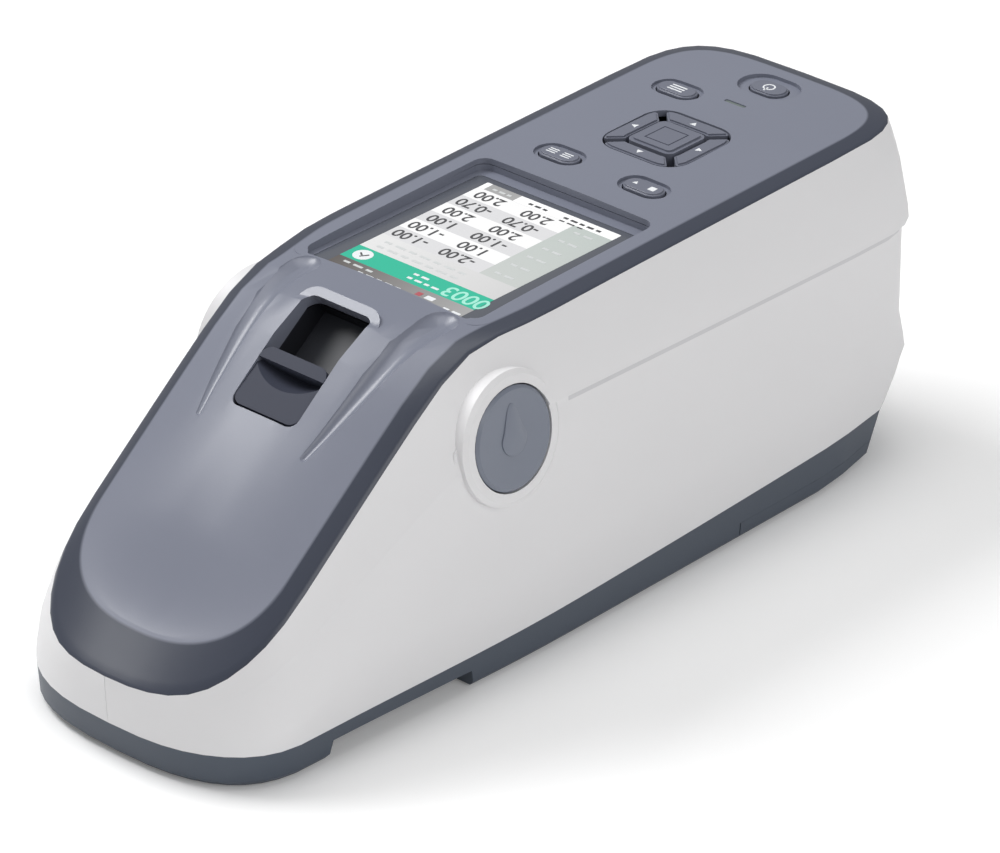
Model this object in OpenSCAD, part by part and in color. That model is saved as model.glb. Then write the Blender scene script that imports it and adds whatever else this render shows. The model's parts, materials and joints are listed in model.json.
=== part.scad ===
// Portable sphere colorimeter that stands on the bench: a long moulded body with a sloping nose
// over the measuring port, a sunk display, a keypad, a sliding viewer door and two measure buttons.
// The nose is at -Y, the user's end at +Y, and the origin is on the bench under the middle.

/* [Body] */
// Length from the nose to the rear end
body_l = 224; // [220:1:228]
// Half width of the moulded case at its widest
case_hw = 40.4; // [40:0.1:41]
// Half width of the dark cover along the deck
deck_hw = 32.8; // [32.4:0.1:33.2]
// Half width of the dark cover along the slope
slope_hw = 30.8; // [30.4:0.1:31.2]
// Height of the cover's lower edge beside the display
rim_h = 77.2; // [76.5:0.1:77.6]
// Wall of the case, the cover and the base
wall = 2.6; // [2.4:0.1:2.8]

/* [Display] */
// Width of the window recess
recess_w = 50; // [48:1:51]
// Thickness of the clear window
window_t = 1.2; // [1:0.1:1.4]

/* [Keys] */
// Travel of each key
key_travel = 0.8; // [0.5:0.1:0.8]
// Gap around each key
key_gap = 0.3; // [0.25:0.05:0.35]

/* [Measure buttons] */
// Radius of the round measure buttons
button_r = 11.5; // [11:0.1:11.8]
// Travel of the measure buttons
button_travel = 1.5; // [1:0.1:1.6]
// Lean of the case wall that carries them, degrees
button_lean = 8; // [7:0.5:9]

/* [Viewer] */
// Half width of the viewer slot
slot_hw = 9.3; // [9:0.1:9.5]
// Half length of the viewer slot along the slope
slot_hl = 14.8; // [14.4:0.1:15]

/* [Measuring port] */
// Radius of the measuring aperture
aperture_r = 4; // [3.5:0.5:4.5]

/* [Hidden] */
$fn = 48;
eps = 0.01;

slate = [0.42, 0.45, 0.52];
dark_slate = [0.28, 0.31, 0.37];
shell_white = [0.86, 0.86, 0.87];

// Ends of the straight sides and sizes of the round ends
nose_y = -body_l / 2;
rear_y = body_l / 2;
nose_c = -84;
rear_c = 82;
nose_pts = 10;
side_pts = 20;
rear_pts = 8;
half_n = nose_pts + side_pts + rear_pts;

function ramp(v, a, b) = let(t = max(0, min(1, (v - a) / (b - a)))) t * t * (3 - 2 * t);
function soft_min(a, b, c) = (a + b - sqrt((a - b) * (a - b) + c * c)) / 2;
function soft_max(a, b, c) = (a + b + sqrt((a - b) * (a - b) + c * c)) / 2;
function mix(a, b, w) = a * (1 - w) + b * w;
function pw(v, e) = sign(v) * pow(abs(v), e);

// Height of the joint between case and cover: a level deck, a slope of 39 degrees, a blunt nose
function deck_line(y) = rim_h + 0.0125 * (y + 8);
function slope_line(y) = 50.4 + 0.804 * (y + 70);
function rim_z(y) = soft_max(soft_min(deck_line(y), slope_line(y), 6), 19, 3);
// Height of the joint between base and case, and of the ridge and groove along the side
function skirt_z(y) = 8.3 + 0.00012 * (y + 112) * (y + 112);
function ridge_z(y) = 22.4 + 0.03 * y;
function groove_z(y) = 60 - 0.02 * (y + 15);

// One half of a plan outline, from the nose tip along +X to the rear tip
function cover_hw(y) = mix(slope_hw, deck_hw, ramp(y, -34, -12));
function body_hw(y) = case_hw - 3.8 * ramp(-y, 10, 100);
function end_pt(hw, yc, r, e, t) = [hw * pw(cos(t), 2 / e), yc + r * pw(sin(t), 2 / e)];
function half_pt(i, hw_nose, hw_rear, nose_e, rear_e, cut, wide, nose_cut) =
    i <= nose_pts
    ? end_pt(hw_nose - cut, nose_c, nose_c - nose_y - nose_cut, nose_e, -90 + 90 * i / nose_pts)
    : i < nose_pts + side_pts
    ? let(y = mix(nose_c, rear_c, (i - nose_pts) / side_pts)) [(wide ? body_hw(y) : cover_hw(y)) - cut, y]
    : end_pt(hw_rear - cut, rear_c, rear_y - rear_c - cut, rear_e, 90 * (i - nose_pts - side_pts) / rear_pts);
function wide_pt(i, cut) = half_pt(i, body_hw(nose_c), case_hw, 2.8, 4, cut, true, cut);
function rim_pt(i, cut) = band_pt(i, cut, cut);
function band_pt(i, cut, nose_cut) = half_pt(i, slope_hw, deck_hw, 2.4, 4, cut, false, nose_cut);

// The case wall leans in from its widest outline to the cover's outline over this height
lean_h = 24;
function lean(d) = let(t = max(0, 1 - max(0, d) / lean_h)) t * t;
// Depth of the sunk side panel behind the soft diagonal edge
panel_d = 1.3;
function panel(y, z) = let(top = groove_z(y), low = ridge_z(y),
    front = ramp(y, -62 + 0.7 * (z - 20), -56 + 0.7 * (z - 20)))
    panel_d * front * ramp(z, low, low + 9) * (z > top ? 0 : 1);
// The wall tucks in below the ridge, a little along the sides and strongly round the rear end
side_tuck = 1.5;
rear_tuck = 10;
function tuck(i, y, z) = let(f = max(0, ridge_z(y) - z) / ridge_z(y))
    mix(side_tuck * f, rear_tuck * pow(f, 1.2), ramp(i, nose_pts + side_pts - 1, half_n - 4));
function wall_pt(i, z, cut, sunk) = let(
    r = rim_pt(i, cut),
    d = rim_z(r[1]) - z,
    w = lean(d),
    b = wide_pt(i, cut + tuck(i, wide_pt(i, 0)[1], z) + (sunk ? panel(wide_pt(i, 0)[1], z) : 0)))
    [mix(b[0], r[0], w), mix(b[1], r[1], w), z];

// A ring of points from one half and its mirror image
function ring(half) = concat(half, [for (i = [len(half) - 2:-1:1]) [-half[i][0], half[i][1], half[i][2]]]);
// Closed skin through rings that run from bottom to top, with flat strips across both ends
module skin(rings) {
    n = len(rings[0]);
    k = len(rings);
    m = n / 2;
    pts = [for (r = rings) for (p = r) p];
    sides = [for (j = [0:k - 2]) for (i = [0:n - 1]) let(a = j * n + i, b = j * n + (i + 1) % n)
        each [[a, a + n, b], [b, a + n, b + n]]];
    low = [for (i = [0:m - 1]) let(a = i, b = i + 1, c = (n - i - 1) % n, d = (n - i) % n)
        each concat(b == c ? [] : [[a, b, c]], a == d ? [] : [[a, c, d]])];
    top = [for (i = [0:m - 1]) let(o = (k - 1) * n, a = i, b = i + 1, c = (n - i - 1) % n, d = (n - i) % n)
        each concat(b == c ? [] : [[o + a, o + c, o + b]], a == d ? [] : [[o + a, o + d, o + c]])];
    polyhedron(pts, concat(sides, low, top), convexity = 8);
}

// Heights of the case's rings, as a real height or a share of the wall where the slope cuts it short
case_share = [0, 0.12, 0.2, 0.24, 0.34, 0.55, 0.745, 0.755, 0.8, 0.86, 0.92, 0.965, 1];
function case_level(k, y) =
    k == 1 ? ridge_z(y) - 5 : k == 2 ? ridge_z(y) : k == 3 ? ridge_z(y) + 3 : k == 4 ? ridge_z(y) + 9
    : k == 5 ? 46 : k == 6 ? groove_z(y) - 0.6 : k == 7 ? groove_z(y) + 0.1 : k == 8 ? groove_z(y) + 3 : 200;
function case_z(k, y) = let(low = skirt_z(y), top = rim_z(y), s = case_share[k])
    k == 0 ? low : min(case_level(k, y), low + (top - low) * s);
module case_outer() {
    skin([for (k = [0:12]) ring([for (i = [0:half_n]) wall_pt(i, case_z(k, rim_pt(i, 0)[1]), 0, true)])]);
}
// The hollow inside the case, from below the base joint to above the cover joint
module case_hollow() {
    skin([for (s = [-0.2, 0.2, 0.5, 0.75, 0.88, 0.96, 1.06]) ring([for (i = [0:half_n])
        let(y = rim_pt(i, 0)[1], low = skirt_z(y), z = low + (rim_z(y) - low) * s)
            wall_pt(i, z, wall, false)])]);
}

// Rounded block from four upright posts
module soft_block(w, l, h, r) {
    hull() for (x = [-1, 1], y = [-1, 1])
        translate([x * (w / 2 - r), y * (l / 2 - r), 0]) cylinder(r = r, h = h, $fn = 24);
}

// Where the measure buttons sit, and their frame: +Z is the outward direction of the leaning wall
button_y = -30;
button_z = 56.5;
wall_x = 38.7;
switch_y = 14;
screw_ys = [-62, 20];
sock_z = 44;
// Half the gap of the joint between the case halves
seam = 0.05;
module at_button(side) {
    translate([side * wall_x, button_y, button_z]) rotate([0, side * (90 - button_lean), 0]) children();
}
module case_half(side) {
    hole_r = button_r + 0.35;
    difference() {
        union() {
            intersection() {
                difference() {
                    case_outer();
                    case_hollow();
                }
                translate([side > 0 ? seam : -60, -150, -5]) cube([60 - seam, 300, 120]);
            }
            at_button(side) translate([0, 0, -4.6]) hull() {
                cylinder(r = button_r + 3.4, h = 4.6, $fn = 48);
                cylinder(r = button_r + 2.3, h = 5.3, $fn = 48);
            }
            // standoffs for the switch bracket
            at_button(side) for (y = [-1, 1]) hull() for (x = [-1, 1])
                translate([x, y * switch_y, -10]) cylinder(r = 1.8, h = 8.5, $fn = 16);
            // posts for the case screws
            intersection() {
                case_outer();
                for (y = screw_ys) translate([side * 33.5, y, skirt_z(y)]) soft_block(11, 6, 14, 1);
            }
            // stiffening ribs inside the wall
            intersection() {
                case_outer();
                for (y = [-6, 50, 84]) translate([side * 37.4, y, skirt_z(y)]) soft_block(5, 1.6, 46, 0.5);
            }
            // frame of the socket opening
            intersection() {
                case_outer();
                translate([side * 8.65, rear_y - 6.4, sock_z - 8]) soft_block(17.3, 9.6, 16, 0.6);
            }
        }
        at_button(side) translate([0, 0, -9]) cylinder(r = hole_r, h = 20, $fn = 48);
        at_button(side) translate([0, 0, -9]) cylinder(r = button_r + 1.3, h = 5.6, $fn = 48);
        for (y = screw_ys) translate([side * screw_x, y, 0]) cylinder(r = shaft_r + 0.08, h = 18, $fn = 16);
        // opening for the sockets in the rear end
        translate([side > 0 ? -eps : -14, rear_y - 12, sock_z - 6]) cube([14 + eps, 20, 12]);
    }
}
module case_right() {
    color(shell_white) case_half(1);
}
module case_left() {
    color(shell_white) case_half(-1);
}

// The cover: its edge rolls up from the joint, then the top crowns towards the middle
edge_h = 1.2;
slope_edge_h = 3;
function edge_rise(y) = mix(slope_edge_h, edge_h, ramp(y, -52, -24));
// Height of the cover over the middle line: the deck runs on level to the slot, then the slope begins
crown_h = 7.7;
function ridge_line(y) = soft_min(deck_line(y) + edge_h + 0.3, slope_line(y) + crown_h, 3);
function crown_rise(y) = (ridge_line(y) - rim_z(y) - edge_rise(y)) * ramp(y, nose_y + nose_band, nose_y + 34)
    * ramp(rear_y - y, roll_w, 24);
// A band rolls up from the joint to the top, wider round the nose: shares of its width and rise
roll_w = 4.2;
nose_band = 9.6;
band_cut = [0, 0.06, 0.2, 0.86, 1];
band_up = [0, 0.2, 0.42, 0.95, 1];
function cover_pt(i, k) = let(p = band_pt(i, roll_w * band_cut[k], nose_band * band_cut[k]))
    [p[0], p[1], rim_z(p[1]) + band_up[k] * edge_rise(p[1])];
crown_n = 6;
// Rings of the top: the last ones run in towards the middle line and carry the crown
function crown_half(s, cut, drop) = [for (i = [0:half_n]) let(p = band_pt(i, roll_w + cut, nose_band + cut))
    [p[0] * s, p[1], rim_z(p[1]) + edge_rise(p[1]) + crown_rise(p[1]) * (1 - s * s) - drop]];
// Height of the top beside the middle line
function top_at(x, y) = rim_z(y) + edge_rise(y) + crown_rise(y) * (1 - pow(x / (cover_hw(y) - roll_w), 2));
module cover_outer() {
    skin(concat(
        [for (k = [0:4]) ring([for (i = [0:half_n]) cover_pt(i, k)])],
        [for (j = [1:crown_n - 1]) ring(crown_half(1 - j / crown_n, 0, 0))]));
}
module cover_hollow() {
    skin(concat(
        [ring([for (i = [0:half_n]) let(p = rim_pt(i, wall)) [p[0], p[1], rim_z(p[1]) - 12]])],
        [ring([for (i = [0:half_n]) let(p = rim_pt(i, wall)) [p[0], p[1], rim_z(p[1]) - 0.8]])],
        [for (j = [0:2]) ring(crown_half(1 - j / 3, wall * 0.5, wall))]));
}

// Deck surface over the middle line
function deck_z(y) = rim_z(y) + edge_rise(y) + crown_rise(y);

// Keypad layout: centres as [x, y]
pad_y = 64;
pad_w = 23.6;
menu_c = [-14.5, 84.5];
page_c = [-12.6, 42.8];
save_c = [11.8, 42.8];
power_c = [0, 99.2];
light_c = [0, 87.4];
pill_w = 10.4;
pill_l = 5.4;
key_floor = 74.6;
// Flat underside of the cover over the keypad, which the keys' flanges bear on
key_ceiling = 76.9;
flange_w = 0.9;
flange_t = 0.8;

module pill(w, l, h, c) {
    translate([c[0], c[1], 0]) linear_extrude(h) hull() for (x = [-1, 1])
        translate([x * (w - l) / 2, 0]) circle(d = l, $fn = 32);
}
// The round-cornered square of the cursor pad, grown by g
module pad_outline(g) {
    offset(r = 6 + g) square(pad_w - 12, center = true);
}
module enter_outline(g) {
    offset(r = 2 + g) square(13 - 4, center = true);
}
// One of four cursor keys: a side of the pad between its diagonals, outside the middle key
module arrow_outline(turn) {
    offset(r = 0.5) offset(delta = -0.5) intersection() {
        difference() {
            pad_outline(-key_gap);
            enter_outline(key_gap + 0.5);
        }
        rotate(turn) polygon([[0.9, 0], [20.9, 20], [20.9, -20]] + [[0.35, 0], [0.35, -0.35], [0.35, 0.35]]);
    }
}

// Frame on the slope at the middle of the viewer slot: +Y runs up the slope
slope_deg = 36;
slot_c = [0, -53.3, 71];
module on_slope() {
    translate(slot_c) rotate([slope_deg, 0, 0]) children();
}
module slot_shape(g, h) {
    hull() for (x = [-1, 1], y = [-1, 1])
        translate([x * (slot_hw - 2.4), y * (slot_hl - 2.4), 0]) cylinder(r = 2.4 + g, h = h, $fn = 20);
}
// A tapering flute beside the slot: wide and deep at the display, running out down the slope
module flute(side) {
    for (j = [0:6]) hull() for (t = [j / 7, (j + 1) / 7])
        let(y = mix(-31, -68, t), x = side * mix(20, 15.2, t * t), r = mix(5, 1, t), deep = mix(1.7, 0.3, t))
            translate([x, y, top_at(x, y) + 0.8 * r - deep]) scale([1, 1, 0.8]) sphere(r = r, $fn = 12);
}
window_y = 1;
window_l = 56;
recess_z = 75.9;
frame_z = 73;
post_x = 21.6;
post_ys = [40, 96];
dome_t = 0.8;
collar_d = 4.6;
collar_h = 2.2;
module top_cover() {
    color(slate) difference() {
        union() {
            difference() {
                cover_outer();
                cover_hollow();
            }
            // posts that carry the key board
            for (x = [-post_x, post_x], y = post_ys)
                translate([x, y, key_floor - dome_t]) cylinder(r = 2.2, h = 5, $fn = 20);
            // frame under the recess that holds the window
            translate([0, window_y + 1.5, frame_z]) soft_block(recess_w + 5, window_l + 5, 4.4, 4);
            // collar round the viewer slot
            on_slope() translate([0, 0, -collar_d]) slot_shape(2.2, collar_h);
        }
        translate([0, window_y + 1.8, recess_z]) soft_block(recess_w, window_l + 1.5, 12, 3);
        translate([0, window_y, recess_z - window_t]) soft_block(recess_w - 3.2, window_l - 0.6, 9, 1.4);
        translate([0, window_y, 70]) soft_block(recess_w - 8, window_l - 3, 9, 1);
        for (y = [37.5, 71]) translate([-19, y, 70]) cube([38, 33.5, key_ceiling - 70]);
        translate([0, pad_y, 70]) linear_extrude(20) pad_outline(0);
        for (c = [menu_c, page_c, save_c]) {
            translate([0, 0, 70]) pill(pill_w + 2 * key_gap, pill_l + 2 * key_gap, 20, c);
            translate([0, 0, deck_z(c[1]) - 0.8]) pill(pill_w + 2.6, pill_l + 2.6, 6, c);
        }
        translate([0, 0, 70]) pill(9.4 + 2 * key_gap, 6.2 + 2 * key_gap, 20, power_c);
        translate([0, 0, deck_z(power_c[1]) - 0.9]) pill(15.5, 11, 6, power_c);
        translate([0, 0, 70]) pill(6, 1.2, 20, light_c);
        on_slope() translate([0, 0, -12]) slot_shape(0, 26);
        for (s = [-1, 1]) flute(s);
    }
}

// The base: a skirt under the case, cut away in an arch behind the nose foot
arch_z = 5;
floor_z = 7.2;
arch_front = -84;
arch_rear = -39;
door_y = 45;
door_z = 5;
function base_half(z, cut) = [for (i = [0:half_n]) let(p = wall_pt(i, z, cut, false)) [p[0], p[1], z]];
function base_top(cut, up) = [for (i = [0:half_n])
    let(z = skirt_z(rim_pt(i, 0)[1]), p = wall_pt(i, z, cut, false)) [p[0], p[1], z + up]];
module base_outer() {
    skin([ring(base_half(base_z, 1.4)), ring(base_half(base_z + 1.3, 0.3)), ring(base_top(0, 0))]);
}
module base_hollow(floor_z) {
    skin([
        ring(base_half(floor_z, wall + 0.4)),
        ring(base_half(floor_z + 1, wall)),
        ring(base_top(wall, 10))]);
}
cell_r = 7.15;
cell_l = 50;
cell_y0 = 45.2;
cell_z = 12.1;
cell_gap = 14.9;
bay_w = 60.4;
bay_top = 21;
port_y = -96;
mask_r = 11.4;
base_z = 0.6;
foot_x = 27;
foot_ys = [-28, 36];
foot_h = 1.6;
// Screw heads stand in counterbores, and their upper faces are 1.6 mm above these heights
screw_x = 29;
screw_zs = [arch_z + 0.3, base_z + 0.8];
shaft_r = 1.1;
fit = 0.05;
tongue_x = 24;
tongue_w = 9;
tongue_t = 1.2;
module base() {
    color(dark_slate) difference() {
        union() {
            difference() {
                base_outer();
                base_hollow(floor_z);
            }
            // walls of the battery bay
            intersection() {
                translate([0, cell_y0 + cell_l / 2 - 0.8, door_z + 0.3])
                    soft_block(bay_w + 3.4, cell_l + 5.6, bay_top - door_z - 0.3, 1.5);
                skin([for (l = [[base_z, 1.4], [9, 0.6], [bay_top + 1, 0.6]]) ring(base_half(l[0], l[1]))]);
            }
            for (x = [-1, 1], y = screw_ys)
                translate([x * screw_x, y, 6]) cylinder(r = 3.4, h = skirt_z(y) - 6, $fn = 24);
            // posts for the main board
            for (x = [-28, 28], y = [-20, 36]) translate([x, y, 6]) cylinder(r = 2.6, h = 24, $fn = 20);
        }
        // arch between the nose foot and the rear part
        hull() for (z = [-5, arch_z], s = [-1, 1])
            translate([0, mix(arch_front, arch_rear, 0.5 + s / 2) - s * (z > 0 ? 2.6 : 0.4), z])
                rotate([0, 90, 0]) cylinder(r = 0.1, h = 120, center = true, $fn = 8);
        // room for the battery door and the cells
        translate([-60, door_y, -1]) cube([120, 100, door_z + fit + 1]);
        translate([-bay_w / 2, cell_y0 - 2.4, 4.2]) cube([bay_w, cell_l + 3, bay_top - 5.6]);
        translate([-bay_w / 2, door_y, -1]) cube([bay_w, cell_y0 + cell_l + 0.6 - door_y, 8]);
        // pockets for the door's tongues
        for (x = [-1, 1]) translate([x * tongue_x - tongue_w / 2 - fit, door_y - 4, 2 - fit])
            cube([tongue_w + 2 * fit, 6, tongue_t + 2 * fit]);
        translate([0, port_y, -1]) cylinder(r = mask_r + 0.05, h = 4, $fn = 64);
        translate([0, port_y, -1]) cylinder(r = 9, h = 20, $fn = 48);
        for (x = [-foot_x, foot_x], y = foot_ys)
            translate([x, y, -1]) cylinder(r = 5.1, h = 1 + foot_h, $fn = 32);
        for (x = [-1, 1], k = [0, 1]) translate([x * screw_x, screw_ys[k], screw_zs[k] - 6]) {
            cylinder(r = 2.3, h = 7.6, $fn = 24);
            cylinder(r = shaft_r + 0.1, h = 20, $fn = 24);
        }
    }
}
// Battery door: the lower rear corner of the base, which slides off to the rear
module battery_cover() {
    color(dark_slate) {
        difference() {
            base_outer();
            intersection() {
                base_hollow(3);
                translate([-50, -150, 0]) cube([100, 300, 60]);
            }
            translate([-60, -150, -5]) cube([120, 150 + door_y + 0.3, 40]);
            translate([-60, -150, door_z]) cube([120, 300, 40]);
            // finger grooves
            for (i = [0:5])
                translate([-9, 97 + 2 * i, base_z]) rotate([0, 90, 0]) cylinder(r = 0.45, h = 18, $fn = 12);
        }
        // ribs under the cells, and tongues that hold the front edge
        for (i = [0:3]) translate([(i - 1.5) * cell_gap - 1, cell_y0, 3 - eps])
            cube([2, cell_l - 4, cell_z - cell_r - fit - 3]);
        for (x = [-1, 1]) translate([x * tongue_x - tongue_w / 2, door_y - 3, 2])
            cube([tongue_w, 6, tongue_t]);
    }
}
// Mask that fits round the measuring aperture under the nose
module target_mask() {
    color([0.12, 0.12, 0.13]) translate([0, port_y, 0]) rotate_extrude($fn = 96)
        polygon([
            [aperture_r, 0.4], [aperture_r, 2.4], [5.2, 3],
            [mask_r, 3], [mask_r, 0.9], [mask_r - 1, 0], [6.6, 0]]);
}
module foot(x, y, h) {
    translate([x, y, 0]) rotate_extrude($fn = 48) polygon([[0, 0], [4.3, 0], [5, 0.5], [5, h], [0, h]]);
}
module feet() {
    color([0.1, 0.1, 0.11]) for (x = [-foot_x, foot_x], y = foot_ys) foot(x, y, foot_h);
}

module display_window() {
    color([0.05, 0.06, 0.07]) translate([0, window_y, recess_z - window_t]) linear_extrude(window_t)
        offset(r = 1) square([recess_w - 5.6, window_l - 3], center = true);
}
panel_t = 3.4;
module display_panel() {
    color([0.7, 0.75, 0.75]) translate([0, window_y, frame_z - panel_t]) linear_extrude(panel_t)
        offset(r = 0.6) square([46, 56], center = true);
}

// Each key is a cap whose flange bears on the underside of the cover
module arrow_key(turn) {
    z0 = key_ceiling - flange_t;
    high = deck_z(pad_y) - z0;
    color(slate) translate([0, pad_y, 0]) {
        // the flange reaches under the cover along the key's outer side only
        translate([0, 0, z0]) linear_extrude(flange_t) intersection() {
            rotate(turn) translate([pad_w / 2 - 3, -5]) square([3 + flange_w, 10]);
            pad_outline(flange_w);
        }
        translate([0, 0, z0]) linear_extrude(high - 0.2) arrow_outline(turn);
        translate([0, 0, z0]) linear_extrude(high + 0.15) offset(delta = -0.5) arrow_outline(turn);
    }
}
module up_key() {
    arrow_key(90);
}
module down_key() {
    arrow_key(-90);
}
module left_key() {
    arrow_key(180);
}
module right_key() {
    arrow_key(0);
}
// The middle key stands on a stem, because the cursor keys close it in
module enter_key() {
    z0 = key_ceiling - flange_t;
    color(slate) translate([0, pad_y, 0]) {
        translate([0, 0, z0]) linear_extrude(deck_z(pad_y) + 0.2 - z0) enter_outline(-0.05);
        translate([0, 0, z0]) linear_extrude(deck_z(pad_y) + 0.6 - z0) enter_outline(-1);
    }
}
module pill_key(w, l, c, up) {
    z0 = key_ceiling - flange_t;
    high = deck_z(c[1]) + up;
    color(slate) {
        translate([0, 0, z0]) pill(w + 2 * flange_w, l + 2 * flange_w, flange_t, c);
        translate([0, 0, z0]) pill(w, l, high - 0.35 - z0, c);
        translate([0, 0, z0]) pill(w - 0.8, l - 0.8, high - z0, c);
    }
}
module menu_key() {
    pill_key(pill_w, pill_l, menu_c, 0.2);
}
module page_key() {
    pill_key(pill_w, pill_l, page_c, 0.2);
}
module save_key() {
    pill_key(pill_w, pill_l, save_c, 0.2);
}
module power_key() {
    pill_key(9.4, 6.2, power_c, -0.1);
}
module status_light() {
    high = deck_z(light_c[1]) - 0.3 - key_floor;
    color([0.6, 0.9, 0.7]) translate([0, 0, key_floor]) pill(5.9, 1.1, high, light_c);
}
board_y = 68.5;
dome_spots = [menu_c, page_c, save_c, power_c,
    [0, pad_y], [9, pad_y], [-9, pad_y], [0, pad_y + 9], [0, pad_y - 9]];
dome_h = key_ceiling - flange_t - key_floor - key_travel - 0.1;
// Rubber sheet with a low dome under each key
module key_domes() {
    color([0.3, 0.3, 0.32]) translate([0, 0, key_floor - dome_t]) difference() {
        union() {
            translate([0, board_y, 0]) linear_extrude(dome_t) offset(r = 2) square([42, 62], center = true);
            for (c = dome_spots)
                translate([c[0], c[1], 0]) cylinder(r1 = 2.6, r2 = 1.6, h = dome_t + dome_h, $fn = 24);
        }
        for (x = [-post_x, post_x], y = post_ys) translate([x, y, -1]) cylinder(r = 2.6, h = 4, $fn = 24);
    }
}
board_t = 1.6;
module key_board() {
    color([0.1, 0.35, 0.25]) translate([0, board_y, key_floor - dome_t - board_t]) linear_extrude(board_t)
        offset(r = 2) square([45, 62], center = true);
}

// Round button with a dished face, guided by the ring of the case
module measure_button(side) {
    color([0.45, 0.48, 0.54]) at_button(side) rotate_extrude($fn = 96)
        polygon(concat(
            [[0, -4.4], [button_r + 1, -4.4], [button_r + 1, -3.4], [button_r, -3.4]],
            [[button_r, 0.5], [button_r - 0.7, 1.1]],
            [for (k = [6:-1:0]) [(button_r - 1.3) * k / 6, 0.7 + 0.4 * pow(k / 6, 2)]]));
}
module button_right() {
    measure_button(1);
}
module button_left() {
    measure_button(-1);
}
// Tact switch on a bracket behind each button
module switch_block(side) {
    color([0.15, 0.15, 0.16]) at_button(side) {
        translate([-3, -3, -10 - eps]) cube([6, 6, 3]);
        translate([0, 0, -7 - eps]) cylinder(r = 1.7, h = 2.3 - button_travel);
        translate([-4, -switch_y - 3, -11.6]) cube([8, 2 * switch_y + 6, 1.6]);
    }
}
module switch_right() {
    switch_block(1);
}
module switch_left() {
    switch_block(-1);
}

// Well under the slot: side walls and a sloping floor with the window opening
well_w = 1.4;
well_top = 74.2;
// Outer block of the well, level along its top edge under the end of the deck
module well_block() {
    difference() {
        on_slope() translate([-slot_hw - well_w, -slot_hl - well_w, -13])
            cube([2 * (slot_hw + well_w), 2 * (slot_hl + well_w), 13 - collar_d]);
        translate([-20, -60, well_top]) cube([40, 60, 10]);
    }
}
module viewer_well() {
    color([0.13, 0.14, 0.16]) difference() {
        well_block();
        on_slope() translate([-slot_hw, -slot_hl, -11.4]) cube([2 * slot_hw, 2 * slot_hl, 20]);
        on_slope() translate([-slot_hw + 2, -slot_hl + 3, -14]) cube([2 * slot_hw - 4, 2 * slot_hl - 6, 5]);
    }
}
module viewer_window() {
    color([0.5, 0.55, 0.6]) on_slope() translate([-slot_hw + 0.05, -slot_hl + 0.05, -11.4])
        cube([2 * slot_hw - 0.1, 2 * slot_hl - 0.1, 1.2]);
}
// Sliding door: a plate with a finger scoop and a raised bar at its upper edge
slider_l = 14.4;
slider_low = -10.15;
module viewer_slider() {
    in_w = slot_hw - fit;
    color(slate) on_slope() translate([0, -slot_hl + 0.4, 0]) difference() {
        intersection() {
            union() {
                // the pad, scooped out towards the bar by a ball
                difference() {
                    translate([-in_w, 0.2, slider_low]) cube([2 * in_w, slider_l - 0.2, -1 - slider_low]);
                    translate([0, slider_l + 5, 8.3]) sphere(r = 16, $fn = 96);
                }
                translate([-in_w, slider_l - 3, slider_low]) cube([2 * in_w, 3, -0.3 - slider_low]);
            }
            translate([0, slider_l / 2 + 0.1, slider_low]) linear_extrude(20)
                offset(r = 2.6) square([2 * in_w - 5.2, slider_l - 5.4], center = true);
        }
        translate([-in_w + 1.6, -1, slider_low - 1]) cube([2 * in_w - 3.2, slider_l + 5, 3.4]);
    }
}

// Integrating sphere with its collar over the aperture
sphere_z = 16.4;
sphere_r = 8.6;
sphere_t = 1.2;
module integrating_sphere() {
    color([0.93, 0.93, 0.9]) translate([0, port_y, 0]) rotate_extrude($fn = 96) difference() {
        union() {
            intersection() {
                translate([0, sphere_z]) circle(r = sphere_r + sphere_t, $fn = 96);
                square([20, 60]);
            }
            translate([0, 3]) square([8.9, 8]);
            translate([0, floor_z]) square([10.8, 2.2]);
        }
        translate([0, sphere_z]) circle(r = sphere_r, $fn = 96);
        translate([0, -1]) square([5.2, 14]);
    }
}
// Bench that carries the sensor unit and the lamp behind the sphere
module optics_bench() {
    color([0.16, 0.17, 0.19]) difference() {
        translate([-25.4, -72, floor_z]) cube([50.8, 48, 4]);
        for (x = [-20, 20], y = [-68, -28]) translate([x, y, 5]) cylinder(r = 1.3, h = 10, $fn = 24);
    }
}
module sensor_unit() {
    color([0.2, 0.2, 0.22]) difference() {
        translate([-14, -66, 11.2]) cube([28, 34, 20]);
        translate([0, -60, 21]) rotate([90, 0, 0]) cylinder(r = 4, h = 10, $fn = 32);
    }
}
module lamp() {
    color([0.9, 0.85, 0.6]) translate([20, -58, 11.2]) {
        cylinder(r = 4.5, h = 12);
        translate([0, 0, 12]) sphere(r = 4.5, $fn = 48);
    }
}
module main_board() {
    color([0.1, 0.35, 0.25]) translate([0, 8, 30]) difference() {
        linear_extrude(board_t) offset(r = 2) square([62, 62], center = true);
        for (x = [-28, 28], y = [-28, 28]) translate([x, y, -1]) cylinder(r = 1.2, h = 4, $fn = 24);
    }
}
module battery_cells() {
    color([0.75, 0.6, 0.25]) for (i = [0:3])
        translate([(i - 1.5) * cell_gap, cell_y0, cell_z]) rotate([-90, 0, 0]) {
            cylinder(r = cell_r, h = cell_l - 1);
            translate([0, 0, cell_l - 1 - eps]) cylinder(r = 2.7, h = 1);
        }
}
module contacts() {
    color([0.8, 0.8, 0.82]) for (i = [0:3]) translate([(i - 1.5) * cell_gap, 0, cell_z]) {
        translate([-5, cell_y0 - 2.4, -5]) cube([10, 0.5, 10]);
        translate([0, cell_y0 - 1.95, 0]) rotate([-90, 0, 0]) cylinder(r1 = 4, r2 = 2, h = 1.9);
        translate([-5, cell_y0 + cell_l + 0.05, -5]) cube([10, 0.55, 10]);
    }
}
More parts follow.
